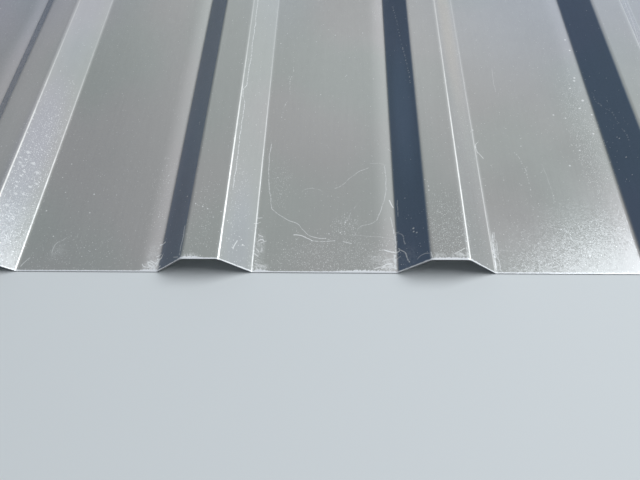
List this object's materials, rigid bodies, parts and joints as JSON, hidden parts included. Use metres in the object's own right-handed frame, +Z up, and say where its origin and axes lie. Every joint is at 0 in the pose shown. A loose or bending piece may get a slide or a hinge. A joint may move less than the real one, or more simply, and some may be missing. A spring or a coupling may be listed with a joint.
{
  "type": "corrugated metal sheet",
  "caption": "Trapezoidal roofing and cladding sheet of coated steel, with low ribs between wide flat pans and a side lap along each long edge.",
  "frame": {"origin": "middle of the sheet's footprint, at the level of the pans' undersides", "axes": "+X across the ribs, from the overlap towards the underlap; +Y along the ribs; +Z up, out of the weather side"},
  "size_m": [1.1552, 2, 0.0205],
  "materials": {
    "coated_steel": "grey metallic coil coating, semi-gloss, lightly scratched, bare zinc at the cut ends"
  },
  "bodies": {
    "root": {"corrugated_sheet": "coated_steel"}
  },
  "joints": []
}
